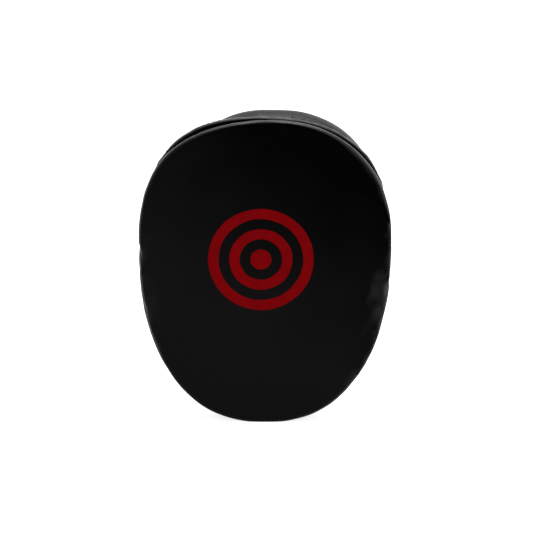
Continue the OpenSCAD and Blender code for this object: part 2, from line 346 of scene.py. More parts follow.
def noise(points, size, seed):
    """Smooth, repeatable bumps between -1 and 1, about size across."""
    draw = np.random.default_rng(seed)
    total = np.zeros(len(points))
    for _ in range(14):
        way = draw.normal(size=3)
        way *= TAU / size / np.linalg.norm(way) * draw.uniform(0.55, 1.25)
        total += np.sin(points @ way + draw.uniform(0, TAU))
    return total / 5.2


def inner_points(rows, columns, rim_rows, rim_columns):
    """Numbers of the points of a grid that lie further in than its rim."""
    return np.arange(rows * columns).reshape(rows, columns)[rim_rows:-rim_rows,
                                                            rim_columns:-rim_columns].ravel()


CLOTH_FRAMES = 20


def inflate(made, free, pressure, cap, shrink=-0.01):
    """Swells made as cloth over its filling. Only free points move, and none beyond cap."""
    start = coordinates(made)
    held = np.ones(len(start), bool)
    held[free] = False
    pins = made.vertex_groups.new(name="held")
    pins.add([int(k) for k in np.flatnonzero(held)], 1.0, "REPLACE")
    cloth = made.modifiers.new("cloth", "CLOTH")
    facts = cloth.settings
    facts.quality = 6
    facts.mass = 0.25
    facts.air_damping = 4
    facts.tension_stiffness = facts.compression_stiffness = 22
    facts.shear_stiffness = 8
    facts.bending_stiffness = 1.2
    facts.use_pressure = True
    facts.uniform_pressure_force = pressure
    facts.shrink_min = facts.shrink_max = shrink
    facts.vertex_group_mass = "held"
    facts.effector_weights.gravity = 0
    cloth.point_cache.frame_start, cloth.point_cache.frame_end = 1, CLOTH_FRAMES
    scene = bpy.context.scene
    for k in range(1, CLOTH_FRAMES + 1):
        scene.frame_set(k)
    move = coordinates(made.evaluated_get(bpy.context.evaluated_depsgraph_get())) - start
    made.modifiers.clear()
    made.vertex_groups.clear()
    scene.frame_set(1)
    far = np.linalg.norm(move, axis=1, keepdims=True)
    move *= np.minimum(1, cap / np.maximum(far, 1e-9))
    set_coordinates(made, start + move)
    return made


def relax(made, weight, rounds):
    """Even out the creases of a mesh, as far as each point's weight lets it."""
    ends = np.array([edge.vertices[:] for edge in made.data.edges])
    shared = np.bincount(ends.ravel(), minlength=len(weight))[:, None]
    co = coordinates(made)
    for _ in range(rounds):
        around = np.zeros_like(co)
        np.add.at(around, ends[:, 0], co[ends[:, 1]])
        np.add.at(around, ends[:, 1], co[ends[:, 0]])
        co = co + 0.5 * weight[:, None] * (around / shared - co)
    set_coordinates(made, co)


def surface_of(made):
    return BVHTree.FromPolygons([tuple(p) for p in coordinates(made)],
                                [tuple(f.vertices) for f in made.data.polygons])


def laid_on(surface, path, lift=0.0):
    """The nearest points of a surface to a path, and the surface's normals there."""
    found = [surface.find_nearest(Vector(p)) for p in path]
    normals = np.array([tuple(f[1]) for f in found])
    return np.array([tuple(f[0]) for f in found]) + normals * lift, normals


STITCH, STITCH_GAP, THREAD_R, THREAD_SIDES = 3.3 * MM, 1.3 * MM, 0.32 * MM, 6
# along a stitch: the share of its length, its height and its thickness, both in thread radii
STATIONS = [(0.0, -0.9, 0.55), (0.14, 0.4, 1.0), (0.5, 0.75, 1.05), (0.86, 0.4, 1.0),
            (1.0, -0.9, 0.55)]


def stitch_shape(path, normals):
    """Small bent cords along a path, each diving into the cloth at both ends."""
    turn = np.linspace(0, TAU, THREAD_SIDES, endpoint=False)
    share = STITCH / (STITCH + STITCH_GAP)
    points, faces = [], []
    for a, b, out in zip(path, path[1:], normals):
        side = unit(np.cross(b - a, out))
        start = len(points)
        for along, lift, thick in STATIONS:
            middle = a + (b - a) * share * along + out * lift * THREAD_R
            points += list(middle + (side * np.cos(turn)[:, None] + out * np.sin(turn)[:, None])
                           * THREAD_R * thick)
        last = len(points) - THREAD_SIDES
        faces += grid_faces(len(STATIONS), THREAD_SIDES, start, True)
        faces += [tuple(end + k for k in range(THREAD_SIDES)) for end in (start, last)]
    return points, faces


def sewn(name, surface, paths, body=ROOT):
    """Rows of stitches laid on a surface along paths. They ride on body, if there is one."""
    made = new_object(name, THREAD, *(
        stitch_shape(*laid_on(surface, even(path, STITCH + STITCH_GAP))) for path in paths))
    if body:
        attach(made, body)
    return made


def settle(made, body, slot, *nodes):
    """The piece rides on a body and stands for CAD nodes, which it hides; slot is not used."""
    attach(made, body)
    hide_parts(*nodes)
    return made


def layer(name, finish, slot, node, *shapes, levels=1, body=ROOT):
    """A thin piece that stands for one CAD node."""
    return settle(subdivided(new_object(name, finish, *shapes), levels), body, slot, node)


# ---- materials ----

def is_socket(value):
    return isinstance(value, bpy.types.NodeSocket)


class Finish:
    """The nodes of a material or a world. Each method adds a node and gives its output."""

    def __init__(self, owner, end="Principled BSDF"):
        owner.use_nodes = True
        self.made, self.nodes = owner, owner.node_tree.nodes
        self.links, self.end = owner.node_tree.links, self.nodes[end]

    def fill(self, node, values):
        """Links or sets inputs, given by name or number."""
        for key, value in values.items():
            if is_socket(value):
                self.links.new(value, node.inputs[key])
            else:
                node.inputs[key].default_value = value
        return node

    def finish(self, **values):
        """Fills the end node, where Base_Color stands for Base Color, and gives the material."""
        self.fill(self.end, {key.replace("_", " "): value for key, value in values.items()})
        return self.made

    def add(self, kind, values, **settings):
        node = self.nodes.new("ShaderNode" + kind)
        for key, value in settings.items():
            setattr(node, key, value)
        return self.fill(node, values)

    def ramp(self, source, stops):
        """A colour ramp fed by source: stops are (place, grey or RGB)."""
        made = self.add("ValToRGB", {"Fac": source})
        while len(made.color_ramp.elements) < len(stops):
            made.color_ramp.elements.new(0.5)
        for element, (place, value) in zip(made.color_ramp.elements, stops):
            element.position = place
            element.color = (*((value,) * 3 if np.isscalar(value) else value), 1)
        return made.outputs["Color"]

    def coords(self, kind="Object"):
        return self.add("TexCoord", {}).outputs[kind]

    def geometry(self, kind):
        return self.add("NewGeometry", {}).outputs[kind]

    def split(self, vector):
        return self.add("SeparateXYZ", {"Vector": vector}).outputs

    def maths(self, operation, a, b):
        return self.add("Math", {0: a, 1: b}, operation=operation).outputs["Value"]

    def noise(self, coords, size, detail=3.0, rough=0.55):
        return self.add("TexNoise", {"Scale": 1 / size, "Detail": detail, "Roughness": rough,
                                     "Vector": coords}).outputs["Fac"]

    def cells(self, coords, size):
        return self.add("TexVoronoi", {"Scale": 1 / size, "Vector": coords}).outputs["Distance"]

    def ribs(self, coords, pitch, axis):
        """Waves a pitch apart along X, Y, Z or DIAGONAL."""
        return self.add("TexWave", {"Scale": TAU / 20 / pitch, "Distortion": 0.3, "Vector": coords},
                        bands_direction=axis).outputs["Fac"]

    def bump(self, height, distance, strength, base=None):
        values = {"Distance": distance, "Strength": strength, "Height": height}
        if base is not None:
            values["Normal"] = base
        return self.add("Bump", values).outputs["Normal"]

    def mix(self, factor, a, b):
        a, b = (value if is_socket(value) else (*value, 1) for value in (a, b))
        return self.add("Mix", {0: factor, 6: a, 7: b}, data_type="RGBA").outputs[2]


def material(name):
    return Finish(bpy.data.materials.new(name))


def wrist_coords(g):
    """Coordinates that follow the strap: length along it and height."""
    place = g.split(g.coords())
    turn = g.maths("ARCTAN2", g.maths("SUBTRACT", place["Y"], WRIST_Y), place["X"])
    along = g.maths("MULTIPLY", turn, STRAP_R)
    return g.add("CombineXYZ", {"X": along, "Z": place["Z"]}).outputs["Vector"]


def leather_material(name, dark, light, rough, level, grain=0.10 * MM, crease=0.30 * MM, sheen=0.0,
                     painted_fold_highlight=None):
    """Coated leather: pebbled grain, fine creases, patchy gloss and slightly paler worn edges.
    Where painted_fold_highlight is a colour, the leather carries painted light: it fades from
    dark at the crown to light towards the heel as painted shade, and to painted_fold_highlight
    where it turns away from the striker, as a painted highlight."""
    g = material(name)
    coords = g.coords()
    pebbles = g.cells(coords, 1.1 * MM)
    wrinkles = g.noise(coords, 6 * MM, 6, 0.62)
    patches = g.noise(coords, 46 * MM)
    # the face's leather takes painted shade and a painted highlight here
    if painted_fold_highlight:
        tone = painted_light_tone(g, coords, patches, dark, light, painted_fold_highlight)
    else:
        tone = g.ramp(patches, [(0.3, dark), (0.72, light)])
    edge = g.ramp(g.geometry("Pointiness"), [(0.515, 0.0), (0.60, 1.0)])
    worn = [2.0 * c + 0.001 for c in light]
    creases = g.bump(wrinkles, crease, 0.5)
    return g.finish(Base_Color=g.mix(edge, tone, worn), Sheen_Weight=sheen, Sheen_Roughness=0.3,
                    Roughness=g.ramp(wrinkles, [(0.3, rough[0]), (0.7, rough[1])]),
                    Normal=g.bump(pebbles, grain, 0.8, creases), Specular_IOR_Level=level)


def painted_light_tone(g, coords, patches, dark, light, painted_fold_highlight):
    """Painted light: dark at the crown and lighter towards the heel and its left as painted shade,
    and palest round the fold on the right as a painted highlight."""
    place = g.split(coords)
    # painted shade: darker upwards and to the right, broken by random patches
    slope = g.maths("ADD", g.maths("ADD", g.maths("MULTIPLY", place["Z"], -6.0),
                                   g.maths("MULTIPLY", place["X"], -4.0)),
                    g.maths("MULTIPLY", patches, 0.5))
    tone = g.ramp(g.maths("ADD", slope, 0.6), [(0.0, dark), (1.0, light)])
    # painted highlight: paler where the leather turns away from the striker, mostly on the right
    turned = g.maths("ADD", g.split(g.geometry("Normal"))["Y"], 1.0)
    fold = g.ramp(turned, [(0.04, 0.0), (0.14, 0.42), (0.3, 0.85), (0.6, 1.0)])
    rightward = g.maths("ADD", g.maths("MULTIPLY", place["X"], 5.0), 0.5)
    side = g.ramp(rightward, [(0.6, 0.25), (0.85, 1.0)])
    return g.mix(g.maths("MULTIPLY", fold, side), tone, painted_fold_highlight)


def print_material(name, dark, light):
    """Ink over leather: the grain shows through, and the ink is a little uneven."""
    g = material(name)
    coords = g.coords()
    patches = g.noise(coords, 18 * MM, 5, 0.7)
    return g.finish(Base_Color=g.ramp(patches, [(0.32, dark), (0.68, light)]),
                    Roughness=g.ramp(patches, [(0.3, 0.5), (0.7, 0.62)]),
                    Normal=g.bump(g.cells(coords, 1.1 * MM), 0.07 * MM, 0.8),
                    Specular_IOR_Level=0.008)


def woven_material(name, dark, light, pitch, coords_of=Finish.coords, axes=("X", "Z"), depth=0.35,
                   sheen=0.25, rough=0.85):
    """Cloth woven from two sets of yarns, lighter where a yarn comes to the top."""
    g = material(name)
    coords = coords_of(g)
    yarns = g.maths("MULTIPLY", *(g.ribs(coords, p, axis) for p, axis in zip(pitch, axes)))
    drift = g.noise(coords, 14 * MM, 4, 0.65)
    worn = g.ramp(drift, [(0.35, 0.0), (0.75, 0.5)])
    return g.finish(Base_Color=g.mix(worn, g.mix(yarns, dark, light), dark),
                    Roughness=g.ramp(drift, [(0.3, rough - 0.06), (0.7, rough + 0.06)]),
                    Normal=g.bump(yarns, depth * min(pitch), 0.9), Specular_IOR_Level=0.2,
                    Sheen_Weight=sheen, Sheen_Roughness=0.5)


def fuzz_material(name, dark, light, size, depth):
    """Hook or loop pile: a dense, uneven nap."""
    g = material(name)
    coords = g.coords()
    nap = g.cells(coords, size)
    drift = g.noise(coords, 4 * MM, 5, 0.7)
    shade = g.maths("MULTIPLY", nap, drift)
    return g.finish(Base_Color=g.ramp(shade, [(0.1, dark), (0.5, light)]),
                    Roughness=g.ramp(drift, [(0.3, 0.85), (0.7, 1.0)]),
                    Normal=g.bump(nap, depth, 1.0), Specular_IOR_Level=0.2, Sheen_Weight=0.4)


# the face's leather: painted shade darkens it towards the crown, and its pale colour is a painted
# highlight round the right fold
FACE_LEATHER = leather_material("face_leather", (0.0001, 0.0001, 0.0001), (0.0032, 0.0028, 0.0029),
                                (0.34, 0.44), 0.007, painted_fold_highlight=(0.042, 0.041, 0.042))
LEATHER = leather_material("leather", (0.0040, 0.0038, 0.0041), (0.0070, 0.0067, 0.0072),
                           (0.34, 0.48), 0.25, sheen=0.15)
SOFT_LEATHER = leather_material("soft_leather", (0.0060, 0.0058, 0.0062), (0.0100, 0.0096, 0.0102),
                                (0.46, 0.62), 0.25, 0.14 * MM, 0.45 * MM)
PRINT = print_material("target_print", (0.078, 0.0002, 0.0008), (0.104, 0.0003, 0.0011))
LINING = woven_material("lining_knit", (0.010, 0.010, 0.012), (0.030, 0.030, 0.034),
                        (1.1 * MM, 0.8 * MM))
MESH = woven_material("spacer_mesh", (0.006, 0.006, 0.007), (0.036, 0.036, 0.040),
                      (2.4 * MM, 2.4 * MM), axes=("DIAGONAL", "X"), depth=0.4)
BINDING = woven_material("binding_tape", (0.006, 0.006, 0.006), (0.022, 0.022, 0.023),
                         (0.9 * MM, 1.7 * MM), axes=("DIAGONAL", "Z"), depth=0.3,
                         sheen=0.15, rough=0.7)
ELASTIC = woven_material("woven_elastic", (0.008, 0.008, 0.009), (0.032, 0.032, 0.034),
                         (1.3 * MM, 2.1 * MM), depth=0.4)
STRAP_TAPE = woven_material("pull_tape", (0.008, 0.008, 0.009), (0.030, 0.030, 0.032),
                            (1.2 * MM, 1.2 * MM), wrist_coords, depth=0.4)
LOOP_PILE = fuzz_material("loop_pile", (0.006, 0.006, 0.007), (0.040, 0.040, 0.043), 0.9 * MM,
                          0.5 * MM)
HOOK_PILE = fuzz_material("hook_pile", (0.004, 0.004, 0.004), (0.022, 0.022, 0.023), 1.5 * MM,
                          0.8 * MM)
THREAD = woven_material("thread", (0.010, 0.010, 0.010), (0.045, 0.045, 0.046),
                        (0.5 * MM, 0.5 * MM), axes=("DIAGONAL", "X"), depth=0.3,
                        sheen=0.1, rough=0.6)


# ---- the pad ----

GROOVE = 5.6 * MM                                  # how far both cushions pull in at the divider
FACE_GRID = 48                                     # quads across a cushion before it is refined
FOLD_RING = 3                                      # ring of the front wall where the face's leather ends
SOFT_FOLD_X = 75 * MM                              # right of this the face's leather goes further round
FLANK_RINGS = 1                                    # rings of the rear wall by the groove in the darker face leather, as painted shade in the groove
CREASE_Z, CREASE_X, CREASE_HALF = -14.5 * MM, -11 * MM, 21 * MM
CREASES = [(1.6 * MM, 0.30 * MM), (-1.6 * MM, 0.36 * MM), (-6.5 * MM, 0.14 * MM)]   # offset, depth
# degrees round from the crown, width in degrees and millimetres drawn in or bulging out
FRONT_PULLS, PULL_ALL_ROUND = [(-5, 50, 3.4), (-20, 19, 2.2), (34, 19, 2.6)], 0.3
REAR_BULGES = [(-32, 21, 1.7), (48, 14, 2.0)]
DIVIDER_INSETS = [4.9, 4.2, 4.0, 4.2, 4.9]         # millimetres, from the front of the divider back


def front_profile():
    """Inset and depth round the front cushion's wall, from the strike face to the divider."""
    front, roll = -PAD_T, 5.0 * MM
    wall = [(roll * (1 - math.sin(a)), front + roll * 0.8 * (1 - math.cos(a)))
            for a in np.radians([0, 18, 36, 54, 70, 84])]
    deep = SPLIT_FRONT - wall[-1][1]
    side = [(0.0, 0.22), (0.35 * MM, 0.46), (1.2 * MM, 0.68), (2.6 * MM, 0.86), (4.0 * MM, 0.96),
            (GROOVE, 1.0)]
    return wall + [(inset, wall[-1][1] + share * deep) for inset, share in side]


def rear_profile():
    """Inset and depth round the rear cushion's wall, from the divider to the back panel."""
    steps = [(GROOVE, 0.0), (2.6 * MM, 0.03), (1.2 * MM, 0.11), (0.4 * MM, 0.24), (0.0, 0.40),
             (0.1 * MM, 0.58), (0.5 * MM, 0.76), (1.2 * MM, 0.89), (2.3 * MM, 0.97),
             (3.8 * MM, 1.0)]
    return [(REAR_STEP * min(1, 4 * share + 0.2) + inset, SPLIT_BACK * (1 - share))
            for inset, share in steps]


def roll_width(angle):
    """How much wider the face's rolled edge is towards the lower right than at the crown."""
    return 1 + 1.1 * hill(np.abs((angle + 0.35 + np.pi) % TAU - np.pi), 1.0)


def hills(angle, places, base=0.0):
    """Hills round the pad's edge, placed in degrees from the crown, positive to the right."""
    at = 90 - np.degrees((angle + np.pi / 2) % TAU - np.pi / 2)
    return MM * sum((amount * hill(at - place, width) for place, width, amount in places), base)


def front_pull(angle):
    """How far the front cushion is drawn in: most at the shoulders, where its cover is taut."""
    return hills(angle, FRONT_PULLS, PULL_ALL_ROUND)


def rear_pull(angle):
    """How far the rear cushion bulges back out (negative) at the shoulders."""
    return -hills(angle, REAR_BULGES)


def pad_cushion(name, leather, profile, crown, pull, widen=np.ones_like):
    """A closed cushion of the pad's outline: a crowned face, its wall and a flat back."""
    radius, angle, quads, rim = disc_grid(FACE_GRID)
    middle = np.array([0.0, MIDDLE_Z])
    wide, drawn = widen(angle), pull(angle)
    caps = []
    for (inset, depth), swell in ((profile[0], crown), (profile[-1], 0.0)):
        edge = PAD.at(angle, inset * (wide if swell else 1) + drawn)
        flat = middle + (edge - middle) * radius[:, None]
        depths = depth - swell * (1 - radius ** 4)
        caps.append(points_at(flat[:, 0], arc_y(flat[:, 1], depths), flat[:, 1]))
    half = len(profile) // 2
    rings = [pad_ring(angle[rim], inset * (wide[rim] if k < half else 1) + drawn[rim], depth)
             for k, (inset, depth) in enumerate(profile[1:-1], 1)]
    made = new_object(name, leather, cushion_shape(caps, rings, quads, rim))
    return made, len(radius), len(rim)


def face_relief(co):
    """Small unevenness of the strike face: dents, a double crease and slack at the edge."""
    x, z = co[:, 0], co[:, 2]
    amount = 0.45 * MM * noise(co, 70 * MM, 3) + 0.16 * MM * noise(co, 22 * MM, 5)
    along = np.clip(1 - np.square((x - CREASE_X) / CREASE_HALF), 0, 1)
    wave = CREASE_Z + 0.7 * MM * np.sin((x - CREASE_X) / (9 * MM))
    for offset, depth in CREASES:
        amount -= along * depth * hill(z - wave - offset, 0.9 * MM)
        amount += along * 0.5 * depth * hill(z - wave - offset - 1.6 * MM, 1.0 * MM)
    edge = np.abs(x) / PAD_HALF
    left = (x < 0) * hill(edge - 1, 0.16)
    amount -= left * 0.8 * MM * hill(z - 14 * MM, 9 * MM)
    amount += left * 0.4 * MM * hill(z + 26 * MM, 7 * MM)
    return amount


def front_cushion():
    made, count, around = pad_cushion("front_cushion", FACE_LEATHER, front_profile(), 1.4 * MM,
                                      front_pull, roll_width)
    made.data.materials.append(LEATHER)
    for index, face in enumerate(list(made.data.polygons)[2 * FACE_GRID ** 2:]):
        fold = FOLD_RING + 2 if face.center.x > SOFT_FOLD_X else FOLD_RING
        face.material_index = int(index // around >= fold)
    inflate(made, slice(count + 8 * around), 1.6, 2.2 * MM, -0.011)
    slack = np.zeros(len(made.data.vertices))
    slack[:count] = 1
    slack[count:count + 2 * around] = 0.6
    relax(made, slack, 10)
    subdivided(made, 2)
    co = coordinates(made)
    in_front = np.clip((-normals_of(made)[:, 1] + 0.25) / 0.5, 0, 1)
    wrinkles = 0.10 * MM * noise(co, 12 * MM, 8) * (co[:, 1] < SPLIT_FRONT - MM)
    push(made, in_front * face_relief(co) + wrinkles)
    settle(made, ROOT, "leather", "face_panel", "front_gusset", "impact_foam")
    return made


def rear_cushion():
    made, count, around = pad_cushion("rear_cushion", LEATHER, rear_profile(), 0.0, rear_pull)
    # the wall's first rings by the groove take the darker face leather: painted shade in the groove
    made.data.materials.append(FACE_LEATHER)
    for face in list(made.data.polygons)[2 * FACE_GRID ** 2:][:FLANK_RINGS * around]:
        face.material_index = 1
    inflate(made, slice(count + 2 * around, count + 6 * around), 1.4, 1.2 * MM)
    subdivided(made, 2)
    co = coordinates(made)
    wall = 1 - np.abs(normals_of(made)[:, 1])
    push(made, wall * 0.22 * MM * noise(co, 16 * MM, 11))
    settle(made, ROOT, "leather", "rear_gusset", "shock_foam", "backing_board", "back_panel")
    return made


def divider():
    """The layer between the cushions: its edge shows as a fine welt deep in the groove."""
    step = (SPLIT_BACK - SPLIT_FRONT) / (len(DIVIDER_INSETS) - 1)
    profile = [(inset * MM, SPLIT_FRONT + k * step) for k, inset in enumerate(DIVIDER_INSETS)]
    made, _, _ = pad_cushion("divider_welt", BINDING, profile, 0.0, front_pull)
    return settle(subdivided(made), ROOT, "fabric", "divider_panel")


def pad_stitching(front, rear):
    angles = np.linspace(0, TAU, 900)
    front_row = pad_ring(angles, 1.6 * MM + front_pull(angles), SPLIT_FRONT - 2.2 * MM)
    rear_row = pad_ring(angles, REAR_STEP + 1.2 * MM + rear_pull(angles), -1.5 * MM)
    sewn("front_seam_stitching", front, [front_row])
    sewn("rear_seam_stitching", rear, [rear_row])


PRINT_POINTS = 180                                 # points round each ring of the print


def target_print(surface):
    """Rings of ink that follow the leather of the strike face."""
    for name, node, hole in (("print_ring_outer", "target_ring_outer", 0.8),
                             ("print_ring_inner", "target_ring_inner", 2 / 3),
                             ("print_disc", "target_centre", 0.0)):
        low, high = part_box(node)
        middle, outer = (low + high) / 2, (high.x - low.x) / 2
        inner = hole * outer
        turns = np.linspace(0, TAU, PRINT_POINTS, endpoint=False)
        radii = np.linspace(max(inner, 0.4 * MM), outer, max(4, int((outer - inner) / (0.9 * MM))))
        grid = []
        for radius in radii:
            wobble = radius + 0.10 * MM * np.sin(7 * turns + radius / MM)
            spots = points_at(middle.x + wobble * np.cos(turns), -0.2,
                              middle.z + wobble * np.sin(turns))
            hits = [surface.ray_cast(Vector(p), Vector((0, 1, 0))) for p in spots]
            grid.append([list(h[0] + h[1] * 0.05 * MM * (-1 if h[1].y > 0 else 1)) for h in hits])
        outer_skin = np.array(grid) - [0, 0.10 * MM, 0]
        shape = thick_sheet(outer_skin, outer_skin + [0, 0.35 * MM, 0], True)
        if inner == 0:
            last = len(radii) * PRINT_POINTS
            faces = [f for f in shape[1]
                     if not (min(f) < PRINT_POINTS and last <= max(f) < last + PRINT_POINTS)]
            shape = shape[0], faces + [tuple(end + k for k in range(PRINT_POINTS))
                                       for end in (0, last)]
        settle(new_object(name, PRINT, shape), ROOT, "print_red", node)


# ---- the finger hood ----

HOOD_ROWS, HOOD_COLUMNS = 26, 44
HOOD_SEWN_IN = 1.6 * MM                            # how far its foot sinks into the rear cushion
SEAM_AT, SEAM_SQUARE = 0.88, 6.0                   # where the hood's top panel joins its gusset
SEAM_ROW = 0.035                                   # from the seam to the stitches on either side


def hood_grid(t):
    f = np.sin(np.linspace(0, np.pi / 2, HOOD_ROWS))[:, None]
    s = np.sin(np.linspace(-np.pi / 2, np.pi / 2, HOOD_COLUMNS))[None, :]
    return hood_point(*np.broadcast_arrays(s, f), t)


def hood_seam_line(at):
    turn = np.linspace(-np.pi / 2, np.pi / 2, 240)
    return hood_point(at * power(np.sin(turn), 2 / SEAM_SQUARE),
                      at * np.cos(turn).clip(0) ** (2 / SEAM_SQUARE))


def hood():
    """The padded cover over the fingers, with a seam between its top panel and its gusset."""
    made = new_object("finger_hood", SOFT_LEATHER, thick_sheet(hood_grid(0.0),
                                                               hood_grid(HOOD_T - HOOD_LINING)))
    inflate(made, inner_points(HOOD_ROWS, HOOD_COLUMNS, 1, 2), 2.0, 2.4 * MM, -0.006)
    subdivided(made, 2)
    co = coordinates(made)
    f = np.clip((co[:, 2] - MOUTH_Z) / (HOOD_TOP - MOUTH_Z), 0, 1)
    s = (co[:, 0] - HOOD_X) / np.maximum(hood_half(co[:, 2], 0.0), 1e-4)
    place = (np.abs(s) ** SEAM_SQUARE + f ** SEAM_SQUARE) ** (1 / SEAM_SQUARE)
    from_seam = (place - SEAM_AT) * HOOD_HALF
    outside = normals_of(made)[:, 1] * 0.5 + 0.5
    relief = -1.0 * MM * hill(from_seam, 1.7 * MM) + 0.35 * MM * hill(from_seam - 3.4 * MM, 2 * MM)
    pucker = 0.30 * MM * noise(co, 9 * MM, 21) * hill(from_seam, 9 * MM)
    crown = 1.9 * MM * hill(co[:, 0] + 2 * MM, 40 * MM) * normals_of(made)[:, 2].clip(0)
    crown *= ((co[:, 1] - arc_y(co[:, 2])) / (8 * MM)).clip(0, 1)
    push(made, (relief + pucker + 0.35 * MM * noise(co, 34 * MM, 22)) * outside + crown)
    co = coordinates(made)
    above_seat = co[:, 1] - arc_y(co[:, 2]) - SEAT
    co[:, 1] -= HOOD_SEWN_IN * (1 - above_seat / (2.5 * MM)).clip(0, 1)
    set_coordinates(made, co)
    settle(made, ROOT, "leather", "hood_shell", "hood_foam")
    sewn("hood_stitching", surface_of(made),
         [hood_seam_line(SEAM_AT + way * SEAM_ROW) for way in (-1, 1)])
    layer("hood_lining_cloth", LINING, "fabric", "hood_lining",
          thick_sheet(hood_grid(HOOD_T - HOOD_LINING + 0.05 * MM), hood_grid(HOOD_T)))


def mouth_tape():
    """A tape folded over the edge of the hood's mouth."""
    s = np.sin(np.linspace(-np.pi / 2, np.pi / 2, 400))
    path = even(hood_point(s, np.zeros(400), HOOD_T / 2), 1.6 * MM)
    along = unit(np.gradient(path, axis=0))
    up = np.tile([0.0, 0.0, 1.0], (len(path), 1))
    out = unit(np.cross(along, up))
    out *= np.sign(out[len(out) // 2, 1])
    ripple = 1 + 0.03 * noise(path, 9 * MM, 31)[:, None]
    section = tape_section(HOOD_T / 2 + 0.9 * MM, 5.5 * MM, 0.85 * MM, 2.4 * MM)
    made = layer("hood_mouth_tape", BINDING, "binding", "mouth_binding",
                 sweep(path, up, out * ripple, section))
    row = path + out * (HOOD_T / 2 + 0.9 * MM) + up * 4.2 * MM
    sewn("hood_mouth_stitching", surface_of(made), [row])


# ---- finger loops, thumb sleeve and palm ball ----

def arch_line(width, height, foot):
    """Middle line of an arch in X and Y: a foot turned in or out, straight sides, a round top."""
    half = width / 2
    turn = np.linspace(np.pi, 0, 26)
    top = np.stack([half * np.cos(turn), height - half + half * np.sin(turn)], -1)
    bend = np.radians(np.linspace(0, 90, 6))
    turn_r = 1.6 * MM
    way = -1 if foot < 0 else 1
    corner = np.stack([-half - way * turn_r * (1 - np.sin(bend)), turn_r * (1 - np.cos(bend))], -1)
    start = [[-half - foot, 0.0], [-half - way * turn_r * 1.2, 0.0]]
    left = np.concatenate([start, corner])
    right = left[::-1] * [-1, 1]
    return np.concatenate([left, top, right])


def arch_strip(line, thick, z0, z1, rows, place):
    """The arch given its thickness and carried from z0 to z1; place maps it into the frame."""
    line = even(line, 1.3 * MM)
    out = turned_left(unit(np.gradient(line, axis=0)))
    levels = np.linspace(z0, z1, rows)
    skins = []
    for lift in (thick / 2, -thick / 2):
        flat = line + out * lift
        grid = np.stack([np.concatenate([flat, np.full((len(flat), 1), z)], 1) for z in levels])
        skins.append(place(grid))
    return thick_sheet(*skins)


def seated(points, height):
    """Follows the back panel's curve at the foot and less and less towards the top."""
    share = 1 - np.clip(points[..., 1] / height, 0, 1)
    moved = points.copy()
    moved[..., 1] += arc_y(points[..., 2]) * share
    return moved


def finger_loops():
    """Four loops of woven elastic, each sewn down on its feet."""
    for finger in ("index", "middle", "ring", "little"):
        low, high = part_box("finger_loop_" + finger)
        thick, middle = 1.3 * MM, (low.x + high.x) / 2
        width, height = high.x - low.x - thick, high.y - thick / 2 - SEAT
        line = arch_line(width, height, -5.2 * MM) + [middle, SEAT + 0.25 * MM + thick / 2]

        def place(grid):
            waist = (2 * grid[..., 2] - low.z - high.z) / (high.z - low.z)
            grid = seated(grid, height)
            grid[..., 1] -= 0.035 * grid[..., 1].clip(0) * (1 - waist ** 2)
            return grid

        made = layer("loop_" + finger, ELASTIC, "webbing", "finger_loop_" + finger,
                     arch_strip(line, thick, low.z, high.z, 14, place))
        z = np.linspace(low.z + 1.5 * MM, high.z - 1.5 * MM, 12)
        sewn("loop_stitching_" + finger, surface_of(made),
             [points_at(middle + way * (width / 2 - 3.2 * MM), arc_y(z) + 2 * MM, z)
              for way in (-1, 1)])


THUMB_AT = np.array([-57, 0, -3]) * MM
THUMB_LEAN = math.radians(35)
THUMB_W, THUMB_H, THUMB_LENGTH = 26 * MM, 23 * MM, 40 * MM
THUMB_LINING, THUMB_SKIN = 1.0 * MM, 2.4 * MM


def thumb_place(grid):
    """From the sleeve's own frame, where it runs along Z, to its lean on the back panel."""
    x = grid[..., 0] * math.cos(THUMB_LEAN) - grid[..., 2] * math.sin(THUMB_LEAN)
    z = grid[..., 0] * math.sin(THUMB_LEAN) + grid[..., 2] * math.cos(THUMB_LEAN)
    points = points_at(x, grid[..., 1], z) + THUMB_AT + [0, SEAT, 0]
    return seated(points, THUMB_H)


def thumb_sleeve():
    """A padded leather arch over a cloth lining, with taped ends and feet sewn to the back."""
    middle = THUMB_W + 2 * THUMB_LINING + THUMB_SKIN
    line = arch_line(middle, THUMB_H + THUMB_LINING + THUMB_SKIN / 2, 7 * MM)
    line[:, 1] = np.maximum(line[:, 1], THUMB_SKIN / 2)
    rows, ends = 18, (-THUMB_LENGTH / 2, THUMB_LENGTH / 2)
    shape = arch_strip(line, THUMB_SKIN, *ends, rows, thumb_place)
    made = new_object("thumb_sleeve_leather", SOFT_LEATHER, shape)
    inflate(made, inner_points(rows, len(shape[0]) // rows // 2, 2, 10), 2.0, 1.6 * MM)
    subdivided(made)
    push(made, 0.16 * MM * noise(coordinates(made), 13 * MM, 41))
    settle(made, ROOT, "leather", "thumb_sleeve")
    run = np.linspace(-0.45, 0.45, 30) * THUMB_LENGTH
    sewn("thumb_stitching", surface_of(made),
         [thumb_place(points_at(way * (middle / 2 + 4.6 * MM), 3 * MM, run)) for way in (-1, 1)])
    line = arch_line(THUMB_W + THUMB_LINING, THUMB_H + THUMB_LINING / 2, 0.0)[2:-2]
    line[:, 1] = np.maximum(line[:, 1], 0.0)
    layer("thumb_lining_cloth", LINING, "fabric", "thumb_lining",
          arch_strip(line, THUMB_LINING * 0.9, *ends, 10, thumb_place))
    thumb_tapes()


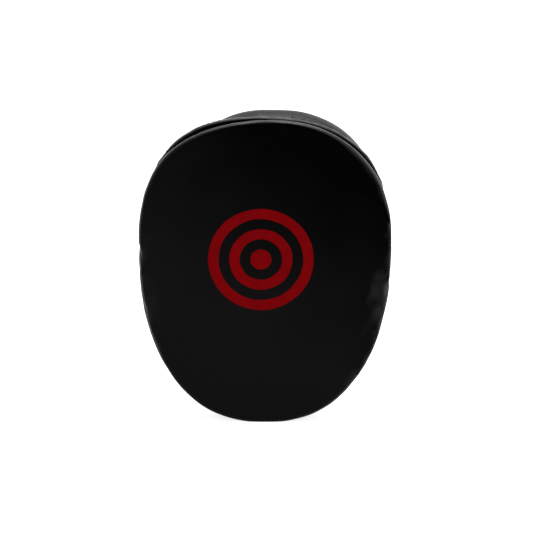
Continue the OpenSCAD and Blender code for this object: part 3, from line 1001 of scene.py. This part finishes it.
def thumb_tapes():
    wall = THUMB_LINING + THUMB_SKIN
    line = even(arch_line(THUMB_W + wall, THUMB_H + wall / 2, 0.0)[8:-8], 1.5 * MM)
    line = line[line[:, 1] > 0.5 * MM]
    out = points_at(*turned_left(unit(np.gradient(line, axis=0))).T, 0.0)
    section = tape_section(wall / 2 + 0.9 * MM, 4.5 * MM, 0.8 * MM, 2.4 * MM)
    shapes = []
    for way in (-1, 1):
        path = points_at(*line.T, way * THUMB_LENGTH / 2)
        side = np.tile([0.0, 0.0, -way], (len(line), 1))
        points, faces = sweep(path, side, out, section)
        shapes.append((thumb_place(points), faces))
    layer("thumb_tapes", BINDING, "binding", "thumb_bindings", *shapes)


BALL_AT = np.array([4, 0, 2]) * MM
BALL_R, BALL_H = 27 * MM, 15 * MM


def palm_ball():
    """A leather dome in four gores over a foam ball, gathered where it is sewn down."""
    sphere = (BALL_R ** 2 + BALL_H ** 2) / (2 * BALL_H)
    reach = math.asin(BALL_R / sphere)
    radius, angle, quads, rim = disc_grid(28)
    tilt = radius * reach
    top = points_at(sphere * np.sin(tilt) * np.cos(angle), BALL_H - sphere + sphere * np.cos(tilt),
                    sphere * np.sin(tilt) * np.sin(angle))
    top[:, 1] = np.maximum(top[:, 1], 0.0) + 0.9 * MM
    edge = points_at(np.cos(angle), 0.0, np.sin(angle))
    rings = [edge[rim] * (BALL_R + out) + [0, lift, 0]
             for out, lift in ((1.6 * MM, 1.3 * MM), (3.4 * MM, 1.3 * MM), (4.0 * MM, 0.8 * MM),
                               (3.6 * MM, 0.25 * MM))]
    base = edge * (radius * (BALL_R + 3 * MM))[:, None] + [0, 0.1 * MM, 0]
    points, faces = cushion_shape([top, base], rings, quads, rim)
    points = seated(points + BALL_AT + [0, SEAT, 0], BALL_H)
    made = new_object("palm_ball", SOFT_LEATHER, (points, faces))
    inflate(made, np.flatnonzero(radius <= 0.93), 2.0, 1.2 * MM)
    subdivided(made, 2)
    co = coordinates(made)
    around = np.arctan2(co[:, 2] - BALL_AT[2], co[:, 0] - BALL_AT[0])
    out = np.hypot(co[:, 2] - BALL_AT[2], co[:, 0] - BALL_AT[0]) / BALL_R
    gather = 0.55 * MM * np.cos(34 * around + 2 * np.sin(3 * around)) * hill(out - 0.98, 0.10)
    gore = np.minimum(np.abs(co[:, 0] - BALL_AT[0]), np.abs(co[:, 2] - BALL_AT[2]))
    seam = -0.9 * MM * hill(gore, 1.1 * MM) * (out < 0.99)
    on_top = co[:, 1] > arc_y(co[:, 2]) + 0.6 * MM
    push(made, (gather + seam + 0.15 * MM * noise(co, 10 * MM, 51)) * on_top)
    settle(made, ROOT, "leather", "palm_ball_core", "palm_ball_cover")
    turn = np.linspace(0, TAU, 200)
    ring = points_at(np.cos(turn) * (BALL_R + 2.6 * MM), 2 * MM,
                     np.sin(turn) * (BALL_R + 2.6 * MM)) + BALL_AT
    span = np.linspace(-0.86, 0.86, 60)
    height = BALL_H - sphere + np.sqrt(np.maximum(sphere ** 2 - (span * BALL_R) ** 2, 0))
    over = [points_at(span * BALL_R, height, z) + BALL_AT for z in (-2.0 * MM, 2.0 * MM)]
    sewn("palm_ball_stitching", surface_of(made), [ring, *over])


# ---- wrist pad, cuff and strap ----

def wrist_pad():
    """A spacer-mesh cushion under the wrist, with a sewn line down its middle."""
    low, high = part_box("wrist_pad_cover")
    half_x, half_z = (high.x - low.x) / 2, (high.z - low.z) / 2
    middle, thick = (low.z + high.z) / 2, 7 * MM
    radius, angle, quads, rim = disc_grid(34)

    def outline(inset):
        c, s = np.cos(angle), np.sin(angle)
        reach = (np.abs(c / (half_x - inset)) ** 4 + np.abs(s / (half_z - inset)) ** 4) ** -0.25
        return np.stack([c * reach, s * reach], -1)

    def level(inset, lift, share=1.0):
        flat = outline(inset) * np.reshape(share, (-1, 1))
        z = middle + flat[:, 1]
        return points_at(flat[:, 0], arc_y(z) + SEAT + lift, z)

    top = level(1.6 * MM, thick * (1 - 0.28 * radius ** 5), radius)
    rings = [level(inset, lift)[rim] for inset, lift in
             ((0.5 * MM, 0.60 * thick), (0.0, 0.42 * thick), (0.2 * MM, 0.24 * thick),
              (0.8 * MM, 0.08 * thick))]
    base = level(2 * MM, 0.0, radius)
    made = new_object("wrist_pad", MESH, cushion_shape([top, base], rings, quads, rim))
    inflate(made, np.flatnonzero(radius <= 0.97), 2.2, 1.8 * MM)
    subdivided(made, 2)
    co = coordinates(made)
    above = co[:, 1] > arc_y(co[:, 2]) + 2 * MM
    border = np.abs(np.maximum(np.abs(co[:, 0]) - half_x, np.abs(co[:, 2] - middle) - half_z)
                    + 6 * MM)
    channel = hill(np.abs(co[:, 0]) - 12 * MM, 1.4 * MM) * (np.abs(co[:, 2] - middle) < half_z - 5 * MM)
    relief = -1.3 * MM * np.maximum(channel, 0.8 * hill(border, 1.3 * MM))
    push(made, (relief + 0.25 * MM * noise(co, 14 * MM, 61)) * above)
    settle(made, ROOT, "fabric", "wrist_pad_foam", "wrist_pad_cover")
    levels = middle + np.linspace(-1, 1, 40) * (half_z - 6 * MM)
    sewn("wrist_pad_stitching", surface_of(made),
         [points_at(x, arc_y(levels) + thick, levels) for x in (-12 * MM, 12 * MM)])


def wing_grid(radius, side, rows, columns):
    """Points of one cuff wing, from where it leaves the back panel; side is 1 on the right and
    -1 on the left."""
    z = np.linspace(CUFF_Z0, CUFF_Z1, rows)[:, None]
    start = np.arcsin((arc_y(z) + SEAT - WRIST_Y) / radius)
    turn = start + (WING - start) * np.linspace(0, 1, columns)[None, :]
    return wrist_point(turn, radius, z) * [side, 1, 1]


def cuff():
    """Two padded wings that stand up from the back panel round the wrist."""
    rows, columns = 18, 22
    shapes = [thick_sheet(wing_grid(CUFF_OUT, side, rows, columns),
                          wing_grid(CUFF_R + CUFF_LINING + 0.05 * MM, side, rows, columns))
              for side in (1, -1)]
    made = new_object("cuff_wings", SOFT_LEATHER, *shapes)
    subdivided(made, 2)
    co = coordinates(made)
    out = np.hypot(co[:, 0], co[:, 1] - WRIST_Y)
    outside = np.clip((out - CUFF_R - 2 * MM) / (2 * MM), 0, 1)
    edge = CUFF_HALF - np.abs(co[:, 2] - CUFF_Z)
    relief = -0.7 * MM * hill(edge - 4.5 * MM, 1.3 * MM)
    push(made, outside * (relief + 0.10 * MM * noise(co, 12 * MM, 71)))
    settle(made, ROOT, "leather", "cuff_leather", "cuff_foam")
    turn = np.linspace(0.32, WING - 0.05, 60)
    sewn("cuff_stitching", surface_of(made),
         [wrist_point(turn, CUFF_OUT, z) * [side, 1, 1] for side in (1, -1)
          for z in (CUFF_Z0 + 4.5 * MM, CUFF_Z1 - 4.5 * MM)])
    layer("cuff_lining_cloth", LINING, "fabric", "cuff_lining", *(
        thick_sheet(*(wing_grid(radius, side, 10, 24) for radius in (CUFF_R + CUFF_LINING, CUFF_R)))
        for side in (1, -1)))
    cuff_tapes()


def cuff_tapes():
    """Tapes folded over the free end of each wing."""
    half = (CUFF_OUT - CUFF_R) / 2
    z = np.linspace(CUFF_Z0 - 0.4 * MM, CUFF_Z1 + 0.4 * MM, 30)
    section = tape_section(half + 0.75 * MM, 3.2 * MM, 0.6 * MM, 2.0 * MM)
    shapes = []
    for side in (1, -1):
        path = wrist_point(WING, CUFF_R + half, z) * [side, 1, 1]
        out = np.tile([math.cos(WING) * side, math.sin(WING), 0.0], (len(z), 1))
        back = np.tile([math.sin(WING) * side, -math.cos(WING), 0.0], (len(z), 1))
        shapes.append(sweep(path, back, out, section))
    layer("cuff_tapes", BINDING, "binding", "cuff_bindings", *shapes)


def band(r0, r1, turn0, turn1, z0, z1, rows=10, tip=0.0):
    """Part of a ring round the wrist, its far end rounded by tip."""
    columns = max(6, int(abs(turn1 - turn0) * r1 / (1.8 * MM)))
    turn = np.linspace(turn0, turn1, columns)
    tight = (turn[1] - turn[0]) * 0.1
    turn = np.insert(turn, [1, -1], [turn[0] + tight, turn[-1] - tight])[None, :]
    z = np.linspace(-1, 1, rows)[:, None]
    half, middle = (z1 - z0) / 2, (z0 + z1) / 2
    near_tip = np.clip(1 - np.abs(turn - turn1) * r1 / tip, 0, 1) if tip else np.zeros_like(turn)
    reach = half * (1 - 0.45 * (1 - np.sqrt(1 - near_tip ** 2)))
    skins = []
    for radius, crown in ((r1, 1), (r0, -1)):
        thin = 0.18 * (r1 - r0) * z ** 6
        skins.append(wrist_point(turn + 0 * z, radius - crown * thin + 0 * turn, middle + z * reach))
    return thick_sheet(*skins)


JOIN_TURN = (turn_of(SWING) + turn_of(PEEL)) / 2
BEND = 8 * MM / STRAP_R                            # an angle each side of a pivot; the points across_hinge makes from it go unused


def across_hinge(made, parent, child, turn):
    """Bakes the piece's placement into its mesh; nothing is bent at the pivot, and parent and child are
    not used.
    """
    start, end = (wrist_point(turn + way * BEND, STRAP_R, STRAP_Z) for way in (1, -1))
    tuple(start)
    tuple(end)
    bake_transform(made)


def strap_half(name, turn0, turn1, parent, child, pivot_turn, nodes, tip=0.0):
    """One stretch of the strap with a row of stitches along each edge."""
    shape = band(STRAP_IN, STRAP_OUT, turn0, turn1, STRAP_Z0, STRAP_Z1, 12, tip)
    made = subdivided(new_object(name, LEATHER, shape))
    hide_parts(*nodes)
    surface = surface_of(made)
    inset = 2.6 * MM
    stop = turn1 + (inset * 1.6 / STRAP_R if tip else 0.012)
    turns = np.linspace(turn0 - 0.012, stop, 160)
    near = np.clip(1 - (turns - stop) * STRAP_R / tip, 0, 1) if tip else 0 * turns
    half = ((STRAP_Z1 - STRAP_Z0) / 2 - inset) * (1 - 0.4 * (1 - np.sqrt(1 - near ** 2)))
    rows = [wrist_point(turns, STRAP_OUT, STRAP_Z + way * half) for way in (-1, 1)]
    if tip:
        rows.append(wrist_point(stop, STRAP_OUT, STRAP_Z + np.linspace(-half[-1], half[-1], 20)))
    threads = sewn(name + "_stitching", surface, rows, None)
    for piece in (made, threads):
        across_hinge(piece, parent, child, pivot_turn)
    return surface


def anchor_cross(surface):
    """A sewn box with a cross in it, where the strap is fixed to the cuff."""
    low, high = STRAP_Z0 + 7 * MM, STRAP_Z1 - 7 * MM
    near, far = ANCHOR_TURN - 0.08, ANCHOR_TURN - 0.36
    corners = [(near, low), (near, high), (far, high), (far, low)]
    legs = [*zip(corners, corners[1:] + corners[:1]), corners[::2], corners[1::2]]
    sewn("anchor_stitching", surface,
         [wrist_point(np.linspace(a[0], b[0], 20), STRAP_OUT, np.linspace(a[1], b[1], 20))
          for a, b in legs])


def strap():
    """The closing strap: sewn to the left wing, over the wrist, and down on the right wing."""
    anchored = strap_half("strap_fixed_half", ANCHOR_TURN, JOIN_TURN, ROOT, STRAP, turn_of(SWING),
                          ("strap_anchor", "wrist_strap"))
    anchor_cross(anchored)
    free = strap_half("strap_free_half", JOIN_TURN, TIP_TURN, STRAP, TIP, turn_of(PEEL),
                      ("strap_end",), 9 * MM)
    z = np.linspace(STRAP_Z0 + 3 * MM, STRAP_Z1 - 3 * MM, 20)
    sewn("strap_join_stitching", free,
         [wrist_point(JOIN_TURN - past, STRAP_OUT, z) for past in (0.045, 0.09)], STRAP)
    patch_z = (STRAP_Z0 + MM, STRAP_Z1 - MM)
    layer("strap_underlay", SOFT_LEATHER, "leather", "anchor_patch",
          band(CUFF_OUT + 0.1 * MM, STRAP_IN - 0.05 * MM, ANCHOR_TURN + 0.05, UNDERLAY_TURN,
               STRAP_Z0, STRAP_Z1))
    layer("loop_fastener", LOOP_PILE, "hook_and_loop", "loop_patch",
          band(CUFF_OUT + 0.05 * MM, CUFF_OUT + PATCH_T, *LOOP_TURNS, *patch_z), levels=2)
    layer("hook_fastener", HOOK_PILE, "hook_and_loop", "hook_patch",
          band(STRAP_IN - PATCH_T, STRAP_IN - 0.03 * MM, *HOOK_TURNS, *patch_z), levels=2, body=TIP)


def pull_tab():
    """A loop of tape at the strap's end, for pulling it open."""
    low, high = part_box("pull_tab")
    middle, half = (low.z + high.z) / 2, (high.z - low.z) / 2
    columns = 12
    turns = np.linspace(TIP_TURN + 0.03, TAB_TURN, columns)
    grids = []
    for side in (1, -1):
        swell = 0.55 * (1 - np.linspace(1, 0, columns) ** 2) * side * 0.5 * MM
        lift = np.where(np.arange(columns) == columns - 1, 0.0, side * 0.75 * MM)
        grids.append(np.stack([wrist_point(turns, STRAP_R + lift + swell, middle + share * half)
                               for share in np.linspace(-1, 1, 8)]))
    layer("pull_tape", STRAP_TAPE, "binding", "pull_tab", thick_sheet(*grids), levels=2, body=TIP)


# ---- stage, light and camera ----

FLOOR_REACH = 14.0


def pale_material(name, dark, light, glow):
    """A pale surface lit from below as well, as on a light table."""
    g = material(name)
    drift = g.noise(g.coords(), 0.7, 2)
    return g.finish(Emission_Color=(1, 1, 1, 1), Emission_Strength=glow, Roughness=0.9,
                    Base_Color=g.ramp(drift, [(0.3, dark), (0.7, light)]), Specular_IOR_Level=0.1)


def floor():
    corners = [(x * FLOOR_REACH, y * FLOOR_REACH, HEEL) for x, y in
               ((-1, -1), (1, -1), (1, 1), (-1, 1))]
    made = new_object("floor", pale_material("floor", 0.56, 0.60, 0.72), (corners, [(0, 1, 2, 3)]))


def sky():
    """Bright at the horizon and dimmer overhead, the same all the way round."""
    world = bpy.data.worlds.new("studio")
    bpy.context.scene.world = world
    g = Finish(world, "Background")
    height = g.split(g.coords("Generated"))["Z"]
    g.finish(Color=g.ramp(height, [(0.0, 1.0), (0.15, 1.0), (0.45, 0.5), (1.0, 0.3)]), Strength=1.6)


def lamp(name, kind, energy, place, aim, size=1.0):
    data = bpy.data.lights.new(name, kind)
    data.energy = energy
    if kind == "AREA":
        data.shape = "RECTANGLE"
        data.size, data.size_y = size, size * 0.6
    made = linked(name, data)
    made.location = place
    made.visible_camera = False
    made.rotation_mode = "QUATERNION"
    made.rotation_quaternion = (Vector(aim) - Vector(place)).to_track_quat("-Z", "Y")
    return made


VIEW_TURN, VIEW_RISE = math.radians(0.6), math.radians(15.3)
VIEW_DISTANCE = 1.9
VIEW_WIDTH = 0.4345                                # width of the view at the mitt
VIEW_AIM = Vector((0.0013, -0.004, 0.0265))


def camera():
    data = bpy.data.cameras.new("camera")
    data.sensor_width = 36
    data.lens = data.sensor_width * VIEW_DISTANCE / VIEW_WIDTH
    data.clip_start, data.clip_end = 0.05, 60
    made = linked("camera", data)
    back = Vector((math.sin(VIEW_TURN) * math.cos(VIEW_RISE),
                   -math.cos(VIEW_TURN) * math.cos(VIEW_RISE), math.sin(VIEW_RISE)))
    made.location = VIEW_AIM + back * VIEW_DISTANCE
    made.rotation_mode = "QUATERNION"
    made.rotation_quaternion = (-back).to_track_quat("-Z", "Y")
    bpy.context.scene.camera = made


# ---- the whole mitt ----

face = surface_of(front_cushion())
rear = surface_of(rear_cushion())
divider()
pad_stitching(face, rear)
target_print(face)
hood()
mouth_tape()
finger_loops()
palm_ball()
thumb_sleeve()
wrist_pad()
cuff()
strap()
pull_tab()

floor()
sky()
overhead = lamp("overhead", "SUN", 2.3, (0, 0.15, 3), (0, 0, 0))
overhead.data.angle = math.radians(50)
lamp("softbox", "AREA", 14, (0.1, -0.1, 1.3), (0, 0, 0.1), 0.9)
lamp("low_fill", "AREA", 3.5, (-0.35, -1.45, 0.02), (0, 0, -0.05), 0.5)
lamp("right_strip", "AREA", 5, (1.1, -0.45, 0.05), (0.1, 0, 0), 0.6)
bpy.context.scene.view_settings.view_transform = "Standard"
camera()
